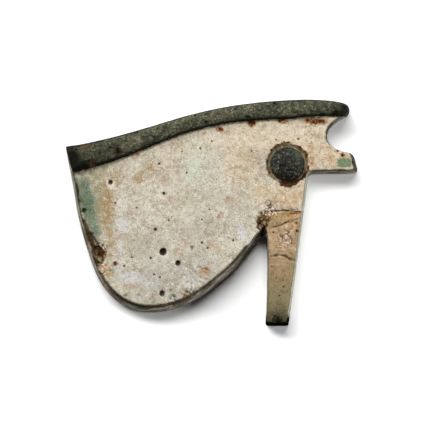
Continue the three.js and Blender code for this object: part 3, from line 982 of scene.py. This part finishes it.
def mix(tree, share, below, above):
    node = tree.nodes.new("ShaderNodeMix")
    node.data_type = "RGBA"
    for socket, value in ((node.inputs[0], share), (node.inputs[6], below), (node.inputs[7], above)):
        if isinstance(value, (int, float, tuple)):
            socket.default_value = value
        else:
            link(tree, value, socket)
    return node.outputs[2]


def attribute(tree, name):
    node = tree.nodes.new("ShaderNodeAttribute")
    node.attribute_name = name
    return node.outputs["Fac"]


def broken(tree, value, breakup, amount):
    """A value multiplied by noise, so that only what is there already becomes uneven."""
    return maths(tree, "MULTIPLY", value, maths(tree, "MULTIPLY_ADD", breakup, amount, 1 - amount / 2))


def tint(tree, below, pigment, value, low, high, strength=1.0):
    """Lays a pigment over the colour below as a value goes from low to high."""
    return mix(tree, ramp(tree, value, low, high, 0.0, strength), below, pigment)


def wash(tree, below, name, pigment, strength, breakup, amount=2.4):
    """Lays a pigment on where the attribute of this name, made uneven by noise, says."""
    cover = broken(tree, attribute(tree, name), breakup, amount)
    return tint(tree, below, pigment, cover, *WASH_EDGE, strength)


def dots(tree, place, spacing, radius, chance, shift=0.0):
    """Scattered round dots: spacing and radius in mm, and the share of the places that have one."""
    texture = voronoi(tree, place, spacing, shift)
    kept = maths(tree, "LESS_THAN", texture.outputs["Color"], chance)
    near = radius / spacing
    round_dot = ramp(tree, texture.outputs["Distance"], near * 0.55, near * 1.3, 1.0, 0.0)
    return maths(tree, "MULTIPLY", round_dot, kept)


def bump(tree, height, depth, normal=None):
    node = tree.nodes.new("ShaderNodeBump")
    node.inputs["Strength"].default_value = 1.0
    node.inputs["Distance"].default_value = depth * MM
    link(tree, height, node.inputs["Height"])
    if normal is not None:
        link(tree, normal, node.inputs["Normal"])
    return node.outputs["Normal"]


print("the material helpers are ready")

# %% [markdown]
# Pale faience is crushed quartz under a thin worn glaze. Up close it is a cream ground with grey and
# beige clouds, brown grains, white grains, and a scatter of pinholes too small to carve. The washes
# go on from the palest to the dirtiest, in the order in which the stains came.

# %% The ground of the pale faience
def noises(tree, place):
    """The noises that the pale faience shares, coarse to fine."""
    return {
        "clouds": noise_value(tree, place, 5.0, 4.0, 0.6),
        "drift": noise_value(tree, place, 3.2, 2.0, 0.5, 12.0),
        "veins": noise_value(tree, place, 2.4, 3.0, 0.55, 15.0),
        "streaks": noise_value(tree, place, 3.6, 3.0, 0.6, 20.0, 3.0),
        "mottle": noise_value(tree, place, 1.2, 4.0, 0.65, 3.0),
        "grains": noise_value(tree, place, 0.5, 3.0, 0.7, 9.0),
        "fine": noise_value(tree, place, 0.26, 2.0, 0.6, 5.0),
    }


def ground_colour(tree, n):
    tone = tint(tree, colour(180, 174, 155), colour(200, 194, 177), n["clouds"], 0.34, 0.66)
    tone = wash(tree, tone, "warm", colour(202, 184, 157), 0.9, n["clouds"], 1.4)
    tone = wash(tree, tone, "cool", colour(168, 165, 156), 0.85, n["clouds"], 1.2)
    patchy = ramp(tree, n["drift"], 0.4, 0.6, 0.3, 1.0)
    darker = maths(tree, "MULTIPLY", ramp(tree, n["mottle"], 0.48, 0.66, 0.0, 0.55), patchy)
    tone = mix(tree, darker, tone, colour(154, 143, 120))
    tone = tint(tree, tone, colour(216, 212, 200), n["mottle"], 0.46, 0.32, 0.5)
    tone = wash(tree, tone, "bloom", colour(200, 200, 202), 0.85, n["mottle"], 2.8)
    tone = wash(tree, tone, "tan", colour(176, 144, 104), 0.85, n["mottle"], 2.2)
    tone = wash(tree, tone, "ochre", colour(150, 125, 86), 0.9, n["mottle"], 2.4)
    tone = wash(tree, tone, "rose", colour(156, 116, 96), 0.8, n["grains"], 3.0)
    glaze = tint(tree, colour(58, 88, 70), colour(96, 116, 92), n["mottle"], 0.36, 0.64)
    tone = wash(tree, tone, "teal", glaze, 1.0, n["grains"], 0.8)
    tone = wash(tree, tone, "olive", colour(132, 128, 92), 0.9, n["mottle"], 1.4)
    tone = wash(tree, tone, "deep", colour(58, 68, 48), 0.9, n["grains"], 2.4)
    tone = wash(tree, tone, "mint", colour(196, 200, 180), 0.8, n["mottle"], 1.6)
    seat = tint(tree, colour(84, 76, 52), colour(146, 133, 102), n["mottle"], 0.4, 0.6)
    tone = mix(tree, attribute(tree, "seat"), tone, seat)
    # Cream: partly the paste's pale colour, partly painted highlight on pit lips and beside the brow.
    tone = wash(tree, tone, "cream", colour(224, 216, 198), 0.8, n["grains"], 1.6)
    # The lip is a painted highlight: a cream band where the paste beside the brow catches the light.
    return wash(tree, tone, "lip", colour(232, 218, 186), 0.9, n["mottle"], 1.4)


def leg_colour(tree, n):
    drift = maths(tree, "MULTIPLY_ADD", n["mottle"], 0.34, -0.17)
    age = maths(tree, "ADD", attribute(tree, "age"), drift)
    tone = tint(tree, colour(180, 146, 98), colour(178, 150, 120), age, 0.02, 0.16)
    tone = tint(tree, tone, colour(212, 194, 164), n["grains"], 0.46, 0.34, 0.8)
    tone = tint(tree, tone, colour(154, 130, 98), age, 0.28, 0.6)
    tone = tint(tree, tone, colour(122, 118, 88), age, 0.52, 0.8)
    tone = tint(tree, tone, colour(84, 84, 62), age, 0.78, 0.96)
    tone = tint(tree, tone, colour(112, 88, 60), n["mottle"], 0.5, 0.64, 0.45)
    tone = tint(tree, tone, colour(120, 110, 72), n["drift"], 0.5, 0.64, 0.4)
    tone = wash(tree, tone, "leg_edge", colour(138, 130, 90), 0.7, n["mottle"], 1.6)
    tone = tint(tree, tone, colour(190, 176, 142), n["fine"], 0.46, 0.34, 0.35)
    return tint(tree, tone, colour(92, 74, 52), n["fine"], 0.53, 0.66, 0.6)


print("the ground and the leg have their colours")

# %% [markdown]
# Grains and dirt go over everything: faint veins, brown and white grains, the stippled places, rust,
# crust and the dark earth that fills every pit. The walls come last. They are streaked along their
# length, start with a dark line under the arris, partly dirt and partly painted shade, and darken
# again towards the table as painted shade.

# %% Dirt and walls of the pale faience
def grain_colour(tree, place, tone, n):
    stained = maths(tree, "MULTIPLY_ADD", attribute(tree, "teal"), 0.6, attribute(tree, "leg"))
    clean = maths(tree, "MAXIMUM", maths(tree, "SUBTRACT", 1.0, stained), 0.0)
    from_vein = maths(tree, "ABSOLUTE", maths(tree, "SUBTRACT", n["veins"], 0.5))
    thin = ramp(tree, from_vein, 0.004, 0.028, 0.5, 0.0)
    veins = maths(tree, "MULTIPLY", thin, ramp(tree, n["drift"], 0.42, 0.56))
    tone = mix(tree, maths(tree, "MULTIPLY", veins, clean), tone, colour(150, 122, 96))
    tone = tint(tree, tone, colour(134, 114, 86), n["grains"], 0.5, 0.66, 0.5)
    lights = maths(tree, "MULTIPLY", ramp(tree, n["fine"], 0.52, 0.7, 0.0, 0.55), clean)
    lights = maths(tree, "MULTIPLY", lights, ramp(tree, n["mottle"], 0.62, 0.4))
    tone = mix(tree, lights, tone, colour(234, 229, 214))
    tone = tint(tree, tone, colour(118, 98, 72), n["fine"], 0.46, 0.3, 0.5)
    specks = dots(tree, place, 1.5, 0.15, 0.36, 4.0)
    tone = mix(tree, maths(tree, "MULTIPLY", specks, 0.85), tone, colour(72, 57, 38))
    stipple = dots(tree, place, 0.5, 0.13, 0.55, 2.0)
    share = ramp(tree, attribute(tree, "stipple"), 0.2, 0.9, 0.0, 0.75)
    return mix(tree, maths(tree, "MULTIPLY", stipple, share), tone, colour(104, 76, 46))


def dirt_colour(tree, place, tone, n):
    umber = tint(tree, colour(96, 80, 58), colour(48, 40, 26), n["grains"], 0.42, 0.6)
    tone = wash(tree, tone, "umber", umber, 1.0, n["mottle"], 0.8)
    tone = wash(tree, tone, "rust", colour(150, 100, 54), 0.95, n["grains"], 1.7)
    thick = broken(tree, attribute(tree, "rust"), n["grains"], 3.6)
    tone = tint(tree, tone, colour(70, 43, 20), thick, 0.6, 1.25)
    # Dirt on the arris, and painted shade along the leg's left edge and in the notch.
    tone = wash(tree, tone, "edge_dirt_and_shade", colour(34, 30, 20), 1.0, n["mottle"], 1.4)
    tone = wash(tree, tone, "grime", colour(66, 44, 24), 0.95, n["grains"], 2.6)
    cover = broken(tree, attribute(tree, "crust"), n["fine"], 1.6)
    crust = tint(tree, colour(34, 22, 11), colour(98, 63, 35), n["grains"], 0.5, 0.68)
    crust = mix(tree, ramp(tree, cover, 0.3, 0.8), colour(124, 84, 52), crust)
    tone = mix(tree, ramp(tree, cover, 0.06, 0.6, 0.0, 0.96), tone, crust)
    sunk = attribute(tree, "sunk")
    tone = tint(tree, tone, colour(72, 54, 30), sunk, 0.08, 0.32, 0.8)
    tone = tint(tree, tone, colour(50, 41, 22), sunk, 0.4, 0.9, 0.9)
    crumb_noise = noise_value(tree, place, 0.42, 2.0, 0.6, 7.0)
    crumbs = ramp(tree, crumb_noise, 0.5, 0.57, 0.0, 0.9)
    share = ramp(tree, attribute(tree, "crumbs"), 0.15, 0.9)
    tone = mix(tree, maths(tree, "MULTIPLY", crumbs, share), tone, colour(232, 224, 206))
    return wash(tree, tone, "soot", colour(22, 21, 15), 1.0, n["grains"], 1.0)


def wall_colour(tree, n):
    depth = broken(tree, attribute(tree, "wall"), n["mottle"], 0.9)
    tone = tint(tree, colour(98, 93, 80), colour(166, 158, 142), n["streaks"], 0.4, 0.6)
    tone = tint(tree, tone, colour(62, 54, 42), n["grains"], 0.5, 0.64, 0.6)
    # Painted shade: the wall darkens towards the table.
    tone = tint(tree, tone, colour(56, 52, 44), depth, 3.4, 5.4, 0.5)
    pale = tint(tree, colour(124, 126, 112), colour(162, 160, 148), n["mottle"], 0.4, 0.6)
    tone = mix(tree, ramp(tree, attribute(tree, "pale_wall"), 0.2, 0.8), tone, pale)
    # Painted shade on the walls of the notch; the walls behind the brow are dark.
    shaded = tint(tree, colour(30, 29, 21), colour(70, 66, 52), n["mottle"], 0.4, 0.6)
    tone = mix(tree, attribute(tree, "shaded_and_dark_wall"), tone, shaded)
    # A dark line under the arris, partly dirt and partly painted shade.
    tone = mix(tree, ramp(tree, depth, 0.3, 0.9, 0.85, 0.0), tone, colour(46, 37, 24))
    tone = tint(tree, tone, colour(12, 12, 9), attribute(tree, "age"), 0.92, 0.99)
    # In the crotch the walls go near black: the rubble's dark grains, and painted shade in the narrow gap
    # between cheek and leg.
    return tint(tree, tone, colour(26, 20, 13), attribute(tree, "rubble_and_shade"), 0.3, 0.8, 0.95)


def pale_faience():
    material, tree, shader = new_material("pale_faience")
    place = object_place(tree)
    n = noises(tree, place)
    tone = mix(tree, attribute(tree, "leg"), ground_colour(tree, n), leg_colour(tree, n))
    tone = wash(tree, tone, "glaze", colour(92, 122, 92), 1.0, n["grains"], 2.0)
    tone = dirt_colour(tree, place, grain_colour(tree, place, tone, n), n)
    beyond = broken(tree, attribute(tree, "wall"), n["grains"], 1.2)
    tone = mix(tree, ramp(tree, beyond, -0.14, 0.3), tone, wall_colour(tree, n))
    link(tree, tone, shader.inputs["Base Color"])
    link(tree, ramp(tree, n["grains"], 0.3, 0.8, 0.45, 0.7), shader.inputs["Roughness"])
    shader.inputs["Specular IOR Level"].default_value = 0.0
    skin = bump(tree, n["mottle"], 0.12)
    skin = bump(tree, n["grains"], 0.14, skin)
    skin = bump(tree, n["fine"], 0.06, skin)
    link(tree, skin, shader.inputs["Normal"])
    return material


plate.data.materials.append(pale_faience())
print("the pale faience has", len(plate.data.materials[0].node_tree.nodes), "nodes")

# %% [markdown]
# The brow and the pupil are faience darkened with manganese. The brow is matt and olive grey, with
# fine pale and black grains, darker at its ends, and painted shade darkens it low down. The pupil
# kept more of its glaze, and a greenish bloom lies on the side away from the cheek.

# %% The dark faience
BROW_SHADE = {
    "end": [
        (72, 158, 12, 18, 15, 1.0), (84, 166, 22, 8, 14, 1.0), (118, 151, 5, 5, 0, 1.0),
        (166, 128, 6, 4, 0, 0.7), (96, 156, 30, 14, 20, 0.55),
    ],
    "tip": [
        (346, 109, 7, 10, 0, 1.0), (336, 114, 10, 7, 0, 0.8),
    ],
    "red": [
        (85, 146, 6, 2.8, 8, 1.0), (92, 165.5, 4.5, 3.5, 0, 0.9), (114, 150, 2.4, 1.6, 0, 0.5),
        (129, 145, 2.4, 1.6, 0, 0.5), (222, 113, 7, 4, 0, 0.35),
    ],
}


def brow_painted_shade(point):
    """Painted shade on the brow: 0 on the crest, 1 at its foot on the side towards the cheek."""
    height = (point.z - brow_low.z) / (brow_high.z - brow_low.z)
    inner = soft_step(1.6, 2.8, from_arris(point))
    return inner * (1 - soft_step(0.15, 0.9, height)) + 0.9 * (1 - inner) * (1 - soft_step(0.2, 0.75, height))


def dark_faience():
    material, tree, shader = new_material("dark_faience")
    place = object_place(tree)
    clouds = noise_value(tree, place, 2.6, 5.0, 0.65, 2.0)
    mottle = noise_value(tree, place, 1.0, 4.0, 0.7, 8.0)
    fine = noise_value(tree, place, 0.42, 3.0, 0.7, 1.0)
    tone = tint(tree, colour(58, 59, 46), colour(86, 84, 65), clouds, 0.38, 0.62)
    tone = tint(tree, tone, colour(106, 105, 84), mottle, 0.5, 0.66, 0.8)
    tone = tint(tree, tone, colour(34, 36, 27), mottle, 0.46, 0.34, 0.8)
    lights = maths(tree, "MULTIPLY", ramp(tree, fine, 0.54, 0.68, 0.0, 0.8), ramp(tree, clouds, 0.36, 0.56))
    tone = mix(tree, lights, tone, colour(144, 147, 130))
    tone = tint(tree, tone, colour(26, 26, 19), fine, 0.46, 0.34, 0.85)
    # Painted shade: the brow goes nearly black low on its flanks, where the light does not reach.
    tone = tint(tree, tone, colour(10, 10, 7), attribute(tree, "low"), 0.1, 0.75, 0.95)
    tone = wash(tree, tone, "end", colour(15, 16, 11), 1.0, mottle, 1.0)
    tone = wash(tree, tone, "tip", colour(12, 13, 12), 1.0, mottle, 1.0)
    tone = wash(tree, tone, "red", colour(92, 62, 42), 0.8, fine, 3.0)
    tone = tint(tree, tone, colour(12, 12, 9), attribute(tree, "relief"), 0.03, 0.14, 0.85)
    link(tree, tone, shader.inputs["Base Color"])
    link(tree, ramp(tree, attribute(tree, "tip"), 0.2, 0.9, 0.7, 0.34), shader.inputs["Roughness"])
    shader.inputs["Specular IOR Level"].default_value = 0.03
    skin = bump(tree, mottle, 0.1)
    link(tree, bump(tree, fine, 0.12, skin), shader.inputs["Normal"])
    return material


for shade, patches in BROW_SHADE.items():
    paint_patches(brow, shade, patches, 0.0)
paint(brow, "low", brow_painted_shade)
brow.data.materials.append(dark_faience())
print("the brow has its colour")

# %% [markdown]
# The pupil's glaze is nearly black. Fine pale specks on it are dust in its small hollows and painted
# glints of light. It is made like the others, with an attribute for its bloom, one for its dust and
# glints and one for its foot.

# %% The pupil's glaze
PUPIL_BLOOM = [(299, 153, 9, 8, -40, 1.0), (273, 160, 4, 10, 0, 0.5)]
PUPIL_DUST_AND_GLINTS = [(276, 164, 9, 14, 0, 1.0), (290, 168, 9, 8, 0, 0.7), (284, 153, 8, 6, 0, 0.5)]


def pupil_glaze():
    material, tree, shader = new_material("pupil_glaze")
    place = object_place(tree)
    clouds = noise_value(tree, place, 1.8, 4.0, 0.6, 6.0)
    fine = noise_value(tree, place, 0.55, 4.0, 0.75, 4.0)
    tone = tint(tree, colour(13, 14, 12), colour(36, 35, 30), clouds, 0.38, 0.62)
    tone = tint(tree, tone, colour(98, 95, 82), fine, 0.52, 0.64, 0.8)
    tone = tint(tree, tone, colour(7, 7, 5), fine, 0.46, 0.36, 0.8)
    tone = wash(tree, tone, "bloom", colour(70, 80, 64), 0.75, fine, 3.0)
    # Painted glints and dust: fine pale specks on the dome.
    glints = maths(tree, "MULTIPLY", dots(tree, place, 0.62, 0.13, 0.4, 3.0), attribute(tree, "dust_and_glints"))
    tone = mix(tree, maths(tree, "MULTIPLY", glints, 0.8), tone, colour(166, 166, 154))
    tone = tint(tree, tone, colour(50, 46, 26), attribute(tree, "low"), 0.3, 0.9, 0.8)
    link(tree, tone, shader.inputs["Base Color"])
    link(tree, ramp(tree, fine, 0.35, 0.7, 0.42, 0.65), shader.inputs["Roughness"])
    shader.inputs["Specular IOR Level"].default_value = 0.09
    skin = bump(tree, clouds, 0.1)
    link(tree, bump(tree, fine, 0.14, skin), shader.inputs["Normal"])
    return material


paint_patches(pupil, "bloom", PUPIL_BLOOM, 0.0)
paint_patches(pupil, "dust_and_glints", PUPIL_DUST_AND_GLINTS, 0.0)
paint(pupil, "low", lambda point: 1 - soft_step(FACE_HEIGHT - 0.2, FACE_HEIGHT + 0.6, point.z))
pupil.data.materials.append(pupil_glaze())
print("the pupil has its glaze")

# %% [markdown]
# Smooth shading lets the light run over the small squares. Each piece then rides on the root body,
# and the solid it stands for is hidden.

# %% Fit the pieces to the frame
for piece, node, finish in (
    (plate, "eye_plate", "pale_faience"), (brow, "brow", "dark_faience"), (pupil, "pupil", "pupil_glaze"),
):
    only(piece)
    bpy.ops.object.shade_smooth()
    piece.vertex_groups.clear()
    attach(piece, "root")
    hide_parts(node)
    triangles = sum(len(face.vertices) - 2 for face in piece.data.polygons)
    print(piece.name, "has", triangles, "triangles")

# %% [markdown]
# ## The picture
# The eye was photographed from almost straight above, on white. Its shadow is dark under the cheek,
# which is broad, and almost nothing beside the leg, which is narrow. That speaks for a long soft
# light from the brow's side, wide enough to reach round narrow things. A second light stands low on
# the tab's side: it brightens the leg's pale wall and the table beside it, while the leg keeps it
# from the cheek. A large plane is the table, bright enough to burn out to white where nothing
# shades it.

# %% Table, light and camera
TABLE_SIDE = 4000.0
TABLE_WHITE = 0.94
WORLD_STRENGTH = 0.02
LIGHT_DISTANCE = 900.0
LIGHTS = {
    "strip": {"toward": (-0.38, 0.6, 0.85), "length": 1400.0, "width": 390.0, "power": 19.4},
    "fill": {"toward": (1.0, -0.1, 0.27), "length": 170.0, "width": 360.0, "power": 10.2},
}
PICTURE_UP = Vector((0, 1, 0))


def aimed(thing, toward, middle, distance):
    """Stands a lamp or camera this far from a point in mm, facing it, with its sides level."""
    back = toward.normalized()
    side = PICTURE_UP.cross(back).normalized()
    thing.location = (middle + back * distance) * MM
    thing.rotation_euler = Matrix((side, back.cross(side), back)).transposed().to_euler()


def staged(name, data):
    thing = bpy.data.objects.new(name, data)
    bpy.context.scene.collection.objects.link(thing)
    return thing


bpy.ops.object.select_all(action="DESELECT")
bpy.ops.mesh.primitive_plane_add(size=TABLE_SIDE * MM, location=(0, 0, 0))
table = bpy.context.active_object
table.name = "table"
paper, tree, shader = new_material("table_paper")
shader.inputs["Base Color"].default_value = (TABLE_WHITE, TABLE_WHITE, TABLE_WHITE, 1.0)
shader.inputs["Roughness"].default_value = 0.9
shader.inputs["Specular IOR Level"].default_value = 0.1
table.data.materials.append(paper)

world = bpy.data.worlds.new("studio")
bpy.context.scene.world = world
world.use_nodes = True
world.node_tree.nodes["Background"].inputs["Color"].default_value = (1.0, 1.0, 1.0, 1.0)
world.node_tree.nodes["Background"].inputs["Strength"].default_value = WORLD_STRENGTH

for name, light in LIGHTS.items():
    lamp = bpy.data.lights.new(name, "AREA")
    lamp.shape = "RECTANGLE"
    lamp.size = light["length"] * MM
    lamp.size_y = light["width"] * MM
    lamp.energy = light["power"]
    aimed(staged(name, lamp), Vector(light["toward"]), Vector((0, 0, 0)), LIGHT_DISTANCE)

lens = bpy.data.cameras.new("camera")
camera = staged("camera", lens)
half = PHOTO_SIDE / 2
aim = Vector(((half - PHOTO_MIDDLE[0]) * MM_PER_PIXEL, (PHOTO_MIDDLE[1] - half) * MM_PER_PIXEL, AIM_HEIGHT))
aimed(camera, CAMERA_LEAN, aim, CAMERA_DISTANCE)
lens.lens = lens.sensor_width * CAMERA_DISTANCE / (PHOTO_SIDE * MM_PER_PIXEL)
lens.clip_end = 10.0
bpy.context.scene.camera = camera
bpy.context.scene.view_settings.view_transform = "Standard"
print("the lens is", round(lens.lens, 1), "mm")
